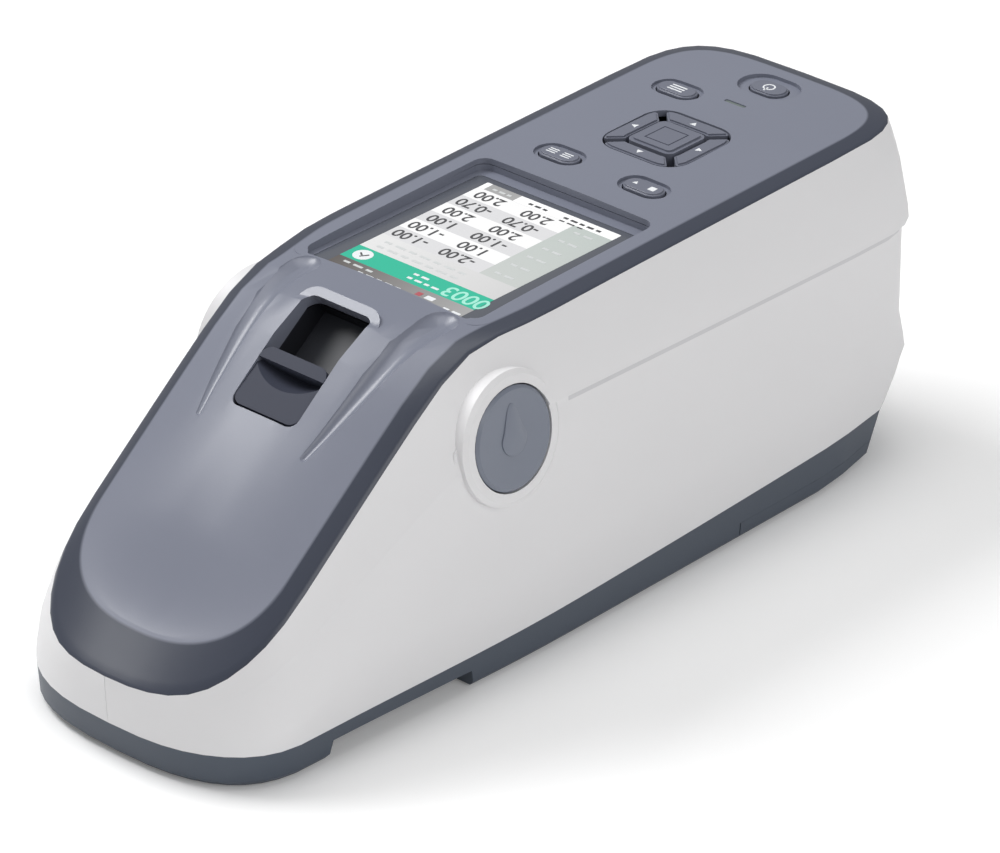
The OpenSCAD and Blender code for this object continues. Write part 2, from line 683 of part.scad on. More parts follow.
// Sockets in the rear end: one for power, one for data
module port_block() {
    color([0.15, 0.15, 0.16]) difference() {
        union() {
            translate([-13.95, rear_y - 14, sock_z - 5.95]) cube([27.9, 12, 11.9]);
            // ledge behind the frame, and a foot that stands on the battery bay
            translate([-16, rear_y - 14, sock_z - 7]) cube([32, 2.7, 14]);
            translate([-14, rear_y - 14, bay_top]) cube([28, 2.7, sock_z - bay_top]);
        }
        translate([-11, rear_y - 10, sock_z - 2.5]) cube([10, 20, 5]);
        translate([6.5, rear_y - 10, sock_z]) rotate([-90, 0, 0]) cylinder(r = 3.2, h = 20);
    }
}
module screws() {
    color([0.6, 0.6, 0.62]) for (x = [-1, 1], k = [0, 1])
        translate([x * screw_x, screw_ys[k], screw_zs[k]]) {
            cylinder(r = 2.2, h = 1.6);
            cylinder(r = shaft_r, h = 9);
        }
}

case_right();
case_left();
top_cover();
base();
battery_cover();
target_mask();
feet();
display_window();
display_panel();
up_key();
down_key();
left_key();
right_key();
enter_key();
menu_key();
page_key();
save_key();
power_key();
status_light();
key_domes();
key_board();
button_right();
button_left();
switch_right();
switch_left();
viewer_well();
viewer_slider();
viewer_window();
integrating_sphere();
optics_bench();
sensor_unit();
lamp();
main_board();
battery_cells();
contacts();
port_block();
screws();
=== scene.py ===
# %% [markdown]
# This lesson dresses a portable colorimeter that lies on the bench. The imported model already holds
# every moulded part at its real size and place, so the first step loads it and keeps its box. All
# that follows is finish: smooth skins over the mouldings, the picture on the display, the marks on
# the keys, and a material for every part.

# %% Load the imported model
import bpy
import json
import math
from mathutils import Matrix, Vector

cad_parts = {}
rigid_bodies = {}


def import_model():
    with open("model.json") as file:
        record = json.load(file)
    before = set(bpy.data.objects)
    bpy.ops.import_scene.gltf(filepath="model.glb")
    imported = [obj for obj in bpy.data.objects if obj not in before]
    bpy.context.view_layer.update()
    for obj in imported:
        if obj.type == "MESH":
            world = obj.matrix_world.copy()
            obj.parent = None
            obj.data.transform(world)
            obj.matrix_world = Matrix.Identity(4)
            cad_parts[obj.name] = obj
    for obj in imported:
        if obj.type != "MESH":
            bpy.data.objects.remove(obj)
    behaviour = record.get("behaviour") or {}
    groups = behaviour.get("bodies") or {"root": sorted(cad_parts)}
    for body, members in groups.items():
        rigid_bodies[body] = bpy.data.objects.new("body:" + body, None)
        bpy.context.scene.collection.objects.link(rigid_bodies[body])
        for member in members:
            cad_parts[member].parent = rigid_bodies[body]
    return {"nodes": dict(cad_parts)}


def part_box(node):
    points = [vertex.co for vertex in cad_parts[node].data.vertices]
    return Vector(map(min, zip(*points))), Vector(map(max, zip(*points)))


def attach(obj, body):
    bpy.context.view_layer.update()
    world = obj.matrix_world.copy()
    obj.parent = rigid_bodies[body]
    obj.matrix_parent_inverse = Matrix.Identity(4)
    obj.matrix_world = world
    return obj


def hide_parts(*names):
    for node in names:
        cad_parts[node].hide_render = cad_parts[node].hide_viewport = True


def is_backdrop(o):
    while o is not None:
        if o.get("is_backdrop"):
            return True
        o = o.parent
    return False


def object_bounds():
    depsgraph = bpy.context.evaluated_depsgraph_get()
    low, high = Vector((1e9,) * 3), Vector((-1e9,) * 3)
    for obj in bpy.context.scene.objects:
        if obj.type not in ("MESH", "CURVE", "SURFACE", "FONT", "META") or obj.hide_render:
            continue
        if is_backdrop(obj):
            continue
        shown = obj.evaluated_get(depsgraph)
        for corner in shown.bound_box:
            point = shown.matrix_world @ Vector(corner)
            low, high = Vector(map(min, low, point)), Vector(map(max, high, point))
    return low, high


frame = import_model()
nodes = frame["nodes"]
cad_box = [list(corner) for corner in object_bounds()]
MM = 0.001
print("loaded", len(nodes), "parts, box", [round(v, 4) for corner in cad_box for v in corner])

# %% [markdown]
# The camera comes first, because every later choice is judged through it. A long lens far away gives
# the flat perspective of a product picture. Its place is worked out from the azimuth and elevation
# it looks from, the point it looks at and its distance.

# %% Camera
CAMERA_AZIMUTH = math.radians(42.11)
CAMERA_ELEVATION = math.radians(28.38)
CAMERA_DISTANCE = 1.32304
CAMERA_TARGET = Vector((-0.00872, 0.01897, 0.02239))
CAMERA_LENS, CAMERA_SENSOR = 216, 36
CAMERA_SIGHT = 20

back = Vector((math.sin(CAMERA_AZIMUTH) * math.cos(CAMERA_ELEVATION),
               -math.cos(CAMERA_AZIMUTH) * math.cos(CAMERA_ELEVATION),
               math.sin(CAMERA_ELEVATION)))
camera_data = bpy.data.cameras.new("camera")
camera_data.lens = CAMERA_LENS
camera_data.sensor_width = CAMERA_SENSOR
camera_data.clip_end = CAMERA_SIGHT
camera = bpy.data.objects.new("camera", camera_data)
bpy.context.scene.collection.objects.link(camera)
camera.location = CAMERA_TARGET + back * CAMERA_DISTANCE
camera.rotation_euler = back.to_track_quat("Z", "Y").to_euler()
bpy.context.scene.camera = camera
bpy.context.scene.view_settings.view_transform = "Standard"
print("camera at", [round(v, 3) for v in camera.location])

# %% [markdown]
# Materials are graphs of nodes. Written out link by link they are hard to read, so two small classes
# help. A Value wraps a socket and lets Python's own signs build the Math nodes. A Graph makes any
# other node from its type, its settings and the values or links of its sockets.

# %% A socket that can be reckoned with
OBJECT_PLACE = 3


class Graph:
    def __init__(self, name):
        self.material = bpy.data.materials.new(name)
        self.material.use_nodes = True
        self.tree = self.material.node_tree
        self.shader = self.tree.nodes["Principled BSDF"]

    def node(self, kind, settings=None, output=0, **values):
        made = self.tree.nodes.new(kind)
        for key, value in (settings or {}).items():
            setattr(made, key, value)
        for key, value in values.items():
            self.feed(made.inputs[int(key[1:])] if key[0] == "n" and key[1:].isdigit()
                      else made.inputs[key.replace("_", " ")], value)
        return Value(self, made.outputs[output])

    def feed(self, socket, value):
        if isinstance(value, Value):
            self.tree.links.new(value.socket, socket)
        else:
            socket.default_value = value

    def math(self, operation, *values):
        inputs = {f"n{i}": value for i, value in enumerate(values)}
        return self.node("ShaderNodeMath", {"operation": operation}, **inputs)

    def place(self):
        return self.node("ShaderNodeTexCoord", output=OBJECT_PLACE)

    def axes(self, place):
        split = self.tree.nodes.new("ShaderNodeSeparateXYZ")
        self.feed(split.inputs[0], place)
        return [Value(self, socket) for socket in split.outputs]

    def colours(self, factor, low, high):
        mixed = self.tree.nodes.new("ShaderNodeMix")
        mixed.data_type = "RGBA"
        self.feed(mixed.inputs[0], factor)
        self.feed(mixed.inputs[6], low)
        self.feed(mixed.inputs[7], high)
        return Value(self, mixed.outputs[2])

    def surface(self, **values):
        for key, value in values.items():
            self.feed(self.shader.inputs[key.replace("_", " ")], value)
        return self.material


class Value:
    def __init__(self, graph, socket):
        self.graph = graph
        self.socket = socket

    def __add__(self, other):
        return self.graph.math("ADD", self, other)

    def __mul__(self, other):
        return self.graph.math("MULTIPLY", self, other)

    def __sub__(self, other):
        return self.graph.math("SUBTRACT", self, other)

    def __rsub__(self, other):
        return self.graph.math("SUBTRACT", other, self)

    __radd__ = __add__
    __rmul__ = __mul__

    def between(self, low, high):
        above = self.graph.math("GREATER_THAN", self, low)
        return above * self.graph.math("LESS_THAN", self, high)

    def clamped(self):
        return self.graph.math("MINIMUM", self.graph.math("MAXIMUM", self, 0.0), 1.0)


def tinted(colour, level=1.0):
    return tuple(c * level for c in colour) + (1,)


def grey(level):
    return (level, level, level, 1)


print("shader helpers ready")

# %% [markdown]
# A lab instrument's housing is injection moulded. Its tool was spark eroded, so the skin has a fine
# grain well under a millimetre, and its gloss drifts a little from place to place. One function makes
# this finish, and each part passes its own colour, gloss and strength of grain. The case alone also
# gets painted shade: a thin grey line along the upper edge of its sunk side panel, where the ledge
# casts its shadow.

# %% Moulded plastic
WIDE_SCALE, GRAIN_SCALE = 35.0, 2600.0
WIDE_SHARE, FINE_SHARE = 0.7, 0.3
WIDE_GLOSS, FINE_GLOSS = 0.08, 0.06
MEAN_GLOSS = (WIDE_GLOSS + FINE_GLOSS) / 2
GRAIN_HEIGHT = 0.1 * MM
# The next constants place painted shade: a thin grey line in the case's colour along the sunk panel's upper
# edge, where its ledge casts a shadow.
GROOVE_SHADE_LOW, GROOVE_SHADE_HIGH = 57.9 * MM, 59.2 * MM
GROOVE_SHADE_FALL = 0.02
GROOVE_SHADE_FROM, GROOVE_SHADE_TO = -12 * MM, 110 * MM
GROOVE_SHADE_GREY, GROOVE_SHADE_SHARE = (0.3, 0.3, 0.33, 1), 0.35


def grained(graph, place, rough, grain, grain_scale=GRAIN_SCALE):
    wide = graph.node("ShaderNodeTexNoise", Vector=place, Scale=WIDE_SCALE, Detail=2.0)
    fine = graph.node("ShaderNodeTexNoise", Vector=place, Scale=grain_scale, Detail=2.0)
    gloss = wide * WIDE_GLOSS + fine * FINE_GLOSS + (rough - MEAN_GLOSS)
    bump = graph.node("ShaderNodeBump", Strength=grain, Distance=GRAIN_HEIGHT, Height=fine)
    return wide * WIDE_SHARE + fine * FINE_SHARE, gloss, bump


# Painted shade: the case's colour turns grey in a thin strip along the groove of the sunk side panel.
def with_groove_shade(graph, place, base):
    along, above = graph.axes(place)[1:]
    height = above + along * GROOVE_SHADE_FALL
    line = height.between(GROOVE_SHADE_LOW, GROOVE_SHADE_HIGH) * along.between(GROOVE_SHADE_FROM, GROOVE_SHADE_TO)
    return graph.colours(line * GROOVE_SHADE_SHARE, base, GROOVE_SHADE_GREY)


def moulded(name, colour, rough, grain=0.05, coat=0.0, drift=0.05, grain_scale=GRAIN_SCALE,
            shine=0.5, groove_shade=False):
    graph = Graph(name)
    place = graph.place()
    mottle, gloss, bump = grained(graph, place, rough, grain, grain_scale)
    base = graph.colours(mottle, tinted(colour, 1 - drift), tinted(colour, 1 + drift))
    if groove_shade:
        base = with_groove_shade(graph, place, base)
    return graph.surface(Base_Color=base, Roughness=gloss, Normal=bump, Coat_Weight=coat,
                         Specular_IOR_Level=shine)


print("moulded plastic ready")

# %% [markdown]
# The rim of the cover rolls down to the case, and it is painted darker than the deck: this is painted
# shade, since the rim faces outward and more steeply and gets less light. It is the same moulding, so
# no new piece is made: the cover's finish has two colours, and the place on the part chooses between
# them. The deck's outline has straight sides and two round ends, each a superellipse, a rounder cousin
# of the rectangle. A point is on the band where the powers of its shares of the outline's half axes
# add up to more than one. The outline widens a little from the nose to the rear.

# %% Cover finish with painted shade on its rim
DECK_COLOUR = (0.19, 0.203, 0.255)
# The rim colour is painted shade, darker than the deck where the rim turns away from the light.
RIM_SHADE_COLOUR = (0.045, 0.052, 0.075)
MOTTLE = 1.06
BAND_WIDTH, NOSE_BAND = 3.9 * MM, 8.9 * MM
NOSE_CENTRE, NOSE_HALF, NOSE_REACH, NOSE_POWER = -84 * MM, 30.8 * MM, 28 * MM, 2.4
REAR_CENTRE, REAR_HALF, REAR_REACH, REAR_POWER = 82 * MM, 32.8 * MM, 30 * MM, 4.0
WIDEN_FROM, WIDEN_OVER = -34 * MM, 22 * MM
EDGE_SHARPNESS = 14.0


def rim_shade_mask(graph, place):
    side, along = graph.axes(place)[:2]
    share = ((along - WIDEN_FROM) * (1 / WIDEN_OVER)).clamped()
    half = share * share * (3 - 2 * share) * (REAR_HALF - NOSE_HALF) + (NOSE_HALF - BAND_WIDTH)
    across = graph.math("DIVIDE", graph.math("ABSOLUTE", side), half)
    to_nose = graph.math("MAXIMUM", (NOSE_CENTRE - along) * (1 / (NOSE_REACH - NOSE_BAND)), 0.0)
    to_rear = graph.math("MAXIMUM", (along - REAR_CENTRE) * (1 / (REAR_REACH - BAND_WIDTH)), 0.0)
    nose = graph.math("POWER", across, NOSE_POWER) + graph.math("POWER", to_nose, NOSE_POWER)
    rear = graph.math("POWER", across, REAR_POWER) + graph.math("POWER", to_rear, REAR_POWER)
    outside = graph.math("MAXIMUM", nose, rear) - 1.0
    return (outside * EDGE_SHARPNESS + 0.5).clamped()


def deck_with_rim_shade(name, deck, band, rough, grain):
    graph = Graph(name)
    place = graph.place()
    mottle, gloss, bump = grained(graph, place, rough, grain)
    mask = rim_shade_mask(graph, place)
    # The band takes the painted shade colour and the deck keeps its own colour.
    plain = graph.colours(mask, tinted(deck), tinted(band))
    lit = graph.colours(mask, tinted(deck, MOTTLE), tinted(band, MOTTLE))
    base = graph.colours(mottle, plain, lit)
    return graph.surface(Base_Color=base, Roughness=gloss, Normal=bump)


print("rim-shade finish ready")

# %% [markdown]
# Every other finish comes from the same function, also for the rubber, the boards, the border of the
# display's window and the printed marks: they differ in colour, gloss, grain and clear coat.

# %% Every moulded finish
finishes = {
    # The case's finish carries painted shade along the groove of its side panel.
    "case": moulded("satin_white", (0.77, 0.765, 0.775), 0.42, 0.06, drift=0.012, groove_shade=True),
    # The cover's darker rim colour is painted shade.
    "cover": deck_with_rim_shade("satin_slate", DECK_COLOUR, RIM_SHADE_COLOUR, 0.33, 0.06),
    "door": moulded("door_slate", (0.05, 0.055, 0.078), 0.5, 0.05, drift=0.03, shine=0.12),
    "base": moulded("satin_dark_slate", (0.062, 0.078, 0.105), 0.42, 0.08, drift=0.04),
    "keys": moulded("key_slate", (0.155, 0.165, 0.21), 0.34, 0.04, drift=0.03),
    "button": moulded("button_slate", (0.19, 0.21, 0.26), 0.33, 0.04, drift=0.03),
    "black": moulded("well_black", (0.012, 0.013, 0.018), 0.5, 0.1, drift=0.1),
    "rubber": moulded("soft_rubber", (0.02, 0.02, 0.022), 0.75, 0.2, drift=0.15),
    "white": moulded("diffusing_white", (0.85, 0.85, 0.82), 0.85, 0.15, drift=0.02),
    "window": moulded("window_border", (0.1, 0.108, 0.13), 0.16, 0.0, 0.3, drift=0.02),
    "glass": moulded("viewer_glass", (0.03, 0.033, 0.042), 0.5, 0.0, drift=0.05),
    "board": moulded("solder_mask", (0.02, 0.11, 0.05), 0.35, 0.1, 0.2, drift=0.3, grain_scale=700.0),
    "cell": moulded("cell_wrap", (0.5, 0.36, 0.08), 0.3, 0.02, 0.4, drift=0.08),
    "light": moulded("light_pipe", (0.16, 0.19, 0.18), 0.2, 0.0, 0.4, drift=0.05),
    "ink": moulded("white_ink", (0.8, 0.82, 0.84), 0.5, 0.02, drift=0.02),
    "digit": moulded("dark_digits", (0.07, 0.07, 0.075), 0.4, 0.0, drift=0.02),
    "faint": moulded("faint_marks", (0.62, 0.64, 0.64), 0.4, 0.0, drift=0.02),
    "mint": moulded("mint_digits", (0.38, 0.8, 0.66), 0.4, 0.0, drift=0.02),
    "red": moulded("red_mark", (0.45, 0.1, 0.12), 0.4, 0.0, drift=0.02),
}
print("made", len(finishes), "moulded finishes")

# %% [markdown]
# The battery contacts and the screws are plated steel. Rolling leaves fine lines in it, so a noise
# squeezed along one axis varies its colour, its gloss and its bump.

# %% Plated steel
LINE_SCALE = (300.0, 300.0, 4000.0)
LINE_SHADE = 0.85


def plated(name, colour, rough):
    graph = Graph(name)
    squeezed = graph.node("ShaderNodeMapping", Vector=graph.place(), Scale=LINE_SCALE)
    lines = graph.node("ShaderNodeTexNoise", Vector=squeezed, Scale=1.0, Detail=3.0)
    base = graph.colours(lines, tinted(colour, LINE_SHADE), tinted(colour))
    bump = graph.node("ShaderNodeBump", Strength=0.1, Distance=GRAIN_HEIGHT, Height=lines)
    return graph.surface(Base_Color=base, Roughness=lines * 0.2 + rough, Normal=bump, Metallic=1.0)


finishes["steel"] = plated("plated_steel", (0.62, 0.62, 0.64), 0.2)
print("made plated steel")

# %% [markdown]
# Many parts already have the right shape and only need their finish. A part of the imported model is
# never moved or reshaped, so its material is simply put in its slot. Parts that aren't listed are keys.

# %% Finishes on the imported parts
FINISH_OF = {
    "target_mask": "black", "feet": "rubber", "display_window": "window", "display_panel": "black",
    "status_light": "light", "key_domes": "rubber", "key_board": "board", "switch_right": "black",
    "switch_left": "black", "viewer_well": "black", "viewer_window": "glass",
    "integrating_sphere": "white", "optics_bench": "black", "sensor_unit": "black", "lamp": "glass",
    "main_board": "board", "battery_cells": "cell", "contacts": "steel", "port_block": "black",
    "screws": "steel", "case_right": "case", "case_left": "case", "top_cover": "cover",
    "base": "base", "battery_cover": "base", "button_right": "button", "button_left": "button",
    "viewer_slider": "door",
}


def dress(piece, finish):
    piece.data.materials.clear()
    piece.data.materials.append(finishes[finish])


for name, part in nodes.items():
    dress(part, FINISH_OF.get(name, "keys"))
print("dressed", len(nodes), "packed parts")

# %% [markdown]
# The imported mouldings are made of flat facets. On the real part they are smooth, so each visible
# shell gets a skin: a copy of its mesh, merged where facets meet, with smooth shading up to a chosen
# angle and normals weighted by area, which keeps flat faces flat. The loaded mesh carries normals of
# its own that would hide the new ones, so they are cleared first. The pill keys and the viewer door
# also get a bevel, because every moulded edge has a small radius that catches the light.

# %% Smooth skins
MERGE_DISTANCE = 2e-6
FLAT_ANGLE = math.radians(0.4)
BEVEL_ANGLE = math.radians(40)
BEVEL_SEGMENTS = 3


def pick(piece):
    bpy.ops.object.select_all(action="DESELECT")
    piece.select_set(True)
    bpy.context.view_layer.objects.active = piece


def body_of(node):
    return nodes[node].parent.name.split(":")[1]


def skin_over(node, name, angle, edge=0.0):
    piece = bpy.data.objects.new(name, nodes[node].data.copy())
    bpy.context.scene.collection.objects.link(piece)
    pick(piece)
    bpy.ops.mesh.customdata_custom_splitnormals_clear()
    bpy.ops.object.mode_set(mode="EDIT")
    bpy.ops.mesh.select_all(action="SELECT")
    bpy.ops.mesh.remove_doubles(threshold=MERGE_DISTANCE)
    if edge > 0:
        bpy.ops.mesh.dissolve_limited(angle_limit=FLAT_ANGLE)
    bpy.ops.object.mode_set(mode="OBJECT")
    if edge > 0:
        bevel = piece.modifiers.new("edge", "BEVEL")
        bevel.width = edge
        bevel.segments = BEVEL_SEGMENTS
        bevel.limit_method = "ANGLE"
        bevel.angle_limit = BEVEL_ANGLE
        bpy.ops.object.modifier_apply(modifier="edge")
    bpy.ops.object.shade_smooth_by_angle(angle=math.radians(angle))
    weighted = piece.modifiers.new("weighted", "WEIGHTED_NORMAL")
    weighted.keep_sharp = True
    bpy.ops.object.modifier_apply(modifier="weighted")
    dress(piece, FINISH_OF.get(node, "keys"))
    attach(piece, body_of(node))
    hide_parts(node)
    return piece


SHELL_ANGLE = 32
for node in ("case_right", "case_left", "top_cover", "base", "battery_cover"):
    shell = skin_over(node, node + "_skin", SHELL_ANGLE)
    print(shell.name, len(shell.data.polygons), "faces")

# %% Rounded keys and buttons
KEY_ANGLE, BUTTON_ANGLE = 40, 30
PILL_EDGE, DOOR_EDGE = 0.14 * MM, 0.2 * MM
CURSOR_KEYS = ["up_key", "down_key", "left_key", "right_key", "enter_key"]
PILL_KEYS = ["menu_key", "page_key", "save_key", "power_key"]
for node in CURSOR_KEYS:
    skin_over(node, node + "_cap", KEY_ANGLE)
for node in PILL_KEYS:
    skin_over(node, node + "_cap", KEY_ANGLE, PILL_EDGE)
for node in ("button_right", "button_left"):
    skin_over(node, node + "_cap", BUTTON_ANGLE)
skin_over("viewer_slider", "viewer_slider_plate", BUTTON_ANGLE, DOOR_EDGE)
print("rounded", len(CURSOR_KEYS + PILL_KEYS), "keys, two buttons and the viewer door")

# %% [markdown]
# Printing on plastic is a film a few hundredths of a millimetre thick. Each mark starts as a plane or
# a disc, gets its outline in edit mode and is raised by that much, so that it is a closed solid.
# Numbers start as text with the same thickness. Marks that share a colour and a carrier are joined
# into one piece.

# %% Flat marks
INK = 0.03 * MM
DIGIT_SHARE = 0.72
DIGIT_WEIGHT = 0.08 * MM


def raise_mark(piece):
    bpy.ops.mesh.select_all(action="SELECT")
    bpy.ops.mesh.extrude_region_move(TRANSFORM_OT_translate={"value": (0, 0, INK)})
    bpy.ops.mesh.select_all(action="SELECT")
    bpy.ops.mesh.normals_make_consistent(inside=False)
    bpy.ops.object.mode_set(mode="OBJECT")
    bpy.ops.object.transform_apply(location=True, rotation=True, scale=True)
    return piece


def bar(centre, size, corner=0.1 * MM, turn=0.0):
    bpy.ops.object.select_all(action="DESELECT")
    bpy.ops.mesh.primitive_plane_add(size=1, location=centre, rotation=(0, 0, turn))
    bpy.ops.object.mode_set(mode="EDIT")
    bpy.ops.mesh.select_all(action="SELECT")
    bpy.ops.transform.resize(value=(size[0], size[1], 1), orient_type="LOCAL")
    bpy.ops.mesh.bevel(offset=corner, segments=3, affect="VERTICES")
    return raise_mark(bpy.context.active_object)


def disc(centre, radius, corners=32, turn=0.0):
    bpy.ops.object.select_all(action="DESELECT")
    bpy.ops.mesh.primitive_circle_add(vertices=corners, radius=radius, fill_type="NGON",
                                      location=centre, rotation=(0, 0, turn))
    bpy.ops.object.mode_set(mode="EDIT")
    return raise_mark(bpy.context.active_object)


def hoop(centre, radius, width, corners=32, turn=0.0):
    bpy.ops.object.select_all(action="DESELECT")
    bpy.ops.mesh.primitive_circle_add(vertices=corners, radius=radius, fill_type="NGON",
                                      location=centre, rotation=(0, 0, turn))
    bpy.ops.object.mode_set(mode="EDIT")
    bpy.ops.mesh.select_all(action="SELECT")
    bpy.ops.mesh.inset(thickness=width)
    bpy.ops.mesh.delete(type="FACE")
    return raise_mark(bpy.context.active_object)


def digits(text, centre, height):
    bpy.ops.object.select_all(action="DESELECT")
    bpy.ops.object.text_add(location=centre, rotation=(0, 0, math.pi))
    piece = bpy.context.active_object
    piece.data.body = text
    piece.data.size = height / DIGIT_SHARE
    piece.data.align_x = "CENTER"
    piece.data.align_y = "CENTER"
    piece.data.extrude = INK / 2
    piece.data.offset = DIGIT_WEIGHT
    bpy.ops.object.convert(target="MESH")
    bpy.ops.object.transform_apply(location=True, rotation=True, scale=True)
    return piece


def joined(pieces, name, finish, node):
    bpy.ops.object.select_all(action="DESELECT")
    for piece in pieces:
        piece.select_set(True)
    bpy.context.view_layer.objects.active = pieces[0]
    if len(pieces) > 1:
        bpy.ops.object.join()
    piece = bpy.context.active_object
    piece.name = name
    dress(piece, finish)
    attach(piece, body_of(node))
    return piece


print("mark helpers ready, ink", INK / MM, "mm thick")

# %% [markdown]
# The display lies under its window, and the picture is what the eye meets, so it is laid on top of
# the window. The reader stands at the rear end and sees it the other way up from this camera. Its
# bands of colour are one material on one film: the place on the film, from 0 to 1 each way, is
# compared with each band's ends. A band at the edge of the film reaches a little past it.

# %% Picture on the display
SCREEN_WIDTH = 38.7 * MM
SCREEN_LENGTH = 51.6 * MM
SCREEN_MIDDLE = 1.0 * MM
SCREEN_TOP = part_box("display_window")[1][2] + 0.01 * MM
STATUS_BAND, TOTAL_BAND = (-0.1, 0.09), (0.09, 0.21)
SHADED_BAND, HEADER_BAND = (0.21, 0.35), (0.94, 1.1)
NAME_COLUMN, HEADER_BOX = (0.72, 1.1), (0.04, 0.26)
FIRST_ROW, ROW_STEP = 0.4, 0.098
TOTAL_GREEN = (0.025, 0.38, 0.25, 1)
SCREEN_GLOW = 0.3


def on_screen(across, down, lift=0):
    return (SCREEN_WIDTH * (across - 0.5), SCREEN_MIDDLE + SCREEN_LENGTH * (down - 0.5),
            SCREEN_TOP + INK * (1 + lift))


def screen_finish():
    graph = Graph("display_picture")
    place = graph.place()
    side, along = graph.axes(place)[:2]
    across = side * (1 / SCREEN_WIDTH) + 0.5
    down = (along - SCREEN_MIDDLE) * (1 / SCREEN_LENGTH) + 0.5
    row = graph.math("FRACT", (down - SHADED_BAND[1]) * (1 / (2 * ROW_STEP)))
    rows = graph.colours(row.between(0.5, 1.0), (0.55, 0.55, 0.56, 1), grey(0.72))
    names = graph.colours(down, (0.46, 0.47, 0.46, 1), (0.4, 0.44, 0.42, 1))
    table = graph.colours(across.between(*NAME_COLUMN), rows, names)
    header = graph.colours(across.between(*HEADER_BOX), grey(0.78), grey(0.3))
    shaded = graph.colours(across, grey(0.6), grey(0.5))
    status = graph.colours(across, (0.09, 0.08, 0.075, 1), grey(0.3))
    picture = table
    for band, colour in ((HEADER_BAND, header), (SHADED_BAND, shaded), (TOTAL_BAND, TOTAL_GREEN),
                         (STATUS_BAND, status)):
        picture = graph.colours(down.between(*band), picture, colour)
    pixels = graph.node("ShaderNodeTexNoise", Vector=place, Scale=3000.0)
    return graph.surface(Base_Color=picture, Emission_Color=picture, Emission_Strength=SCREEN_GLOW,
                         Roughness=pixels * 0.06 + 0.2)


finishes["screen"] = screen_finish()
film = bar(on_screen(0.5, 0.5, -1), (SCREEN_WIDTH, SCREEN_LENGTH), 0.3 * MM)
joined([film], "screen_film", "screen", "display_window")
print("screen film", [round(v / MM, 2) for v in film.dimensions])

# %% [markdown]
# Two columns of readings fill the table, and short dashes stand for the words. A row of dashes is
# given by its place down the film, where it starts and ends across it, and the number of dashes.

# %% Numbers and small marks on the display
DIGIT_HEIGHT, TOTAL_HEIGHT = 3.3 * MM, 4.4 * MM
COLUMNS = {0.5: ("-2.00", "1.00", "-1.00", "2.00", "-0.70", "2.00"),
           0.15: ("-1.00", "-1.00", "1.00", "2.00", "-0.70", "2.00")}
readings = [digits(text, on_screen(across, FIRST_ROW + ROW_STEP * row), DIGIT_HEIGHT)
            for across, column in COLUMNS.items() for row, text in enumerate(column)]
joined(readings, "screen_readings", "digit", "display_window")
joined([digits("0003", on_screen(0.87, 0.148), TOTAL_HEIGHT)], "screen_total", "mint", "display_window")

DASH, THIN_DASH, TICK = 0.75 * MM, 0.5 * MM, 0.45 * MM


def dashes(down, start, end, count, height=DASH):
    step = (end - start) / count
    lengths = [SCREEN_WIDTH * step * (0.55 + 0.25 * (i % 2)) for i in range(count)]
    return [bar(on_screen(start + step * (i + 0.5), down), (length, height))
            for i, length in enumerate(lengths)]


white = [disc(on_screen(0.1, 0.15), 2.3 * MM)]
white += dashes(0.125, 0.45, 0.7, 4) + dashes(0.165, 0.45, 0.58, 2)
white += dashes(0.025, 0.2, 0.55, 5, THIN_DASH) + [bar(on_screen(0.73, 0.045), (2.4 * MM, 1.5 * MM))]
white += dashes(0.02, 0.84, 0.99, 2)
joined(white, "screen_white_marks", "ink", "display_window")
faint = [mark for down in (0.25, 0.3) for mark in dashes(down, 0.06, 0.7, 7)]
faint += [mark for row in range(6) for mark in dashes(FIRST_ROW + ROW_STEP * row, 0.76, 0.92, 2)]
faint += dashes(0.06, 0.05, 0.3, 3) + dashes(0.965, 0.07, 0.23, 3)
joined(faint, "screen_faint_marks", "faint", "display_window")
dark = dashes(0.965, 0.34, 0.5, 3) + dashes(0.965, 0.6, 0.9, 5) + dashes(0.935, 0.6, 0.8, 3, THIN_DASH)
dark += [bar(on_screen(0.085, 0.152, 1), (1.3 * MM, TICK), turn=math.radians(-40)),
         bar(on_screen(0.113, 0.147, 1), (2.2 * MM, TICK), turn=math.radians(55))]
joined(dark, "screen_dark_marks", "digit", "display_window")
joined([bar(on_screen(0.65, 0.045), (1.5 * MM, 1.5 * MM))], "screen_red_mark", "red", "display_window")
print("readings:", len(readings), "numbers")

# %% [markdown]
# White ink marks the keys: an arrow on each cursor key, and plain shapes on the others. The middle
# key has a square in a dark line. Each mark rides on its own key, so that it goes down with it.

# %% Marks on the keys
PAD = (0.0, 64 * MM)
ARROW_REACH = 9.2 * MM
ARROW_RADIUS = 0.95 * MM
SQUARE_HALF, SQUARE_LINE = 3.5 * MM, 0.28 * MM


def top_of(node):
    low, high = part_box(node)
    return (low[0] + high[0]) / 2, (low[1] + high[1]) / 2, high[2]


for node, turn in {"right_key": 0, "up_key": 90, "left_key": 180, "down_key": 270}.items():
    angle = math.radians(turn)
    spot = (PAD[0] + ARROW_REACH * math.cos(angle), PAD[1] + ARROW_REACH * math.sin(angle), top_of(node)[2])
    joined([disc(spot, ARROW_RADIUS, 3, angle - math.pi / 2)], node + "_arrow", "ink", node)


def beside(node, across, along=0.0):
    x, y, z = top_of(node)
    return x + across * MM, y + along * MM, z


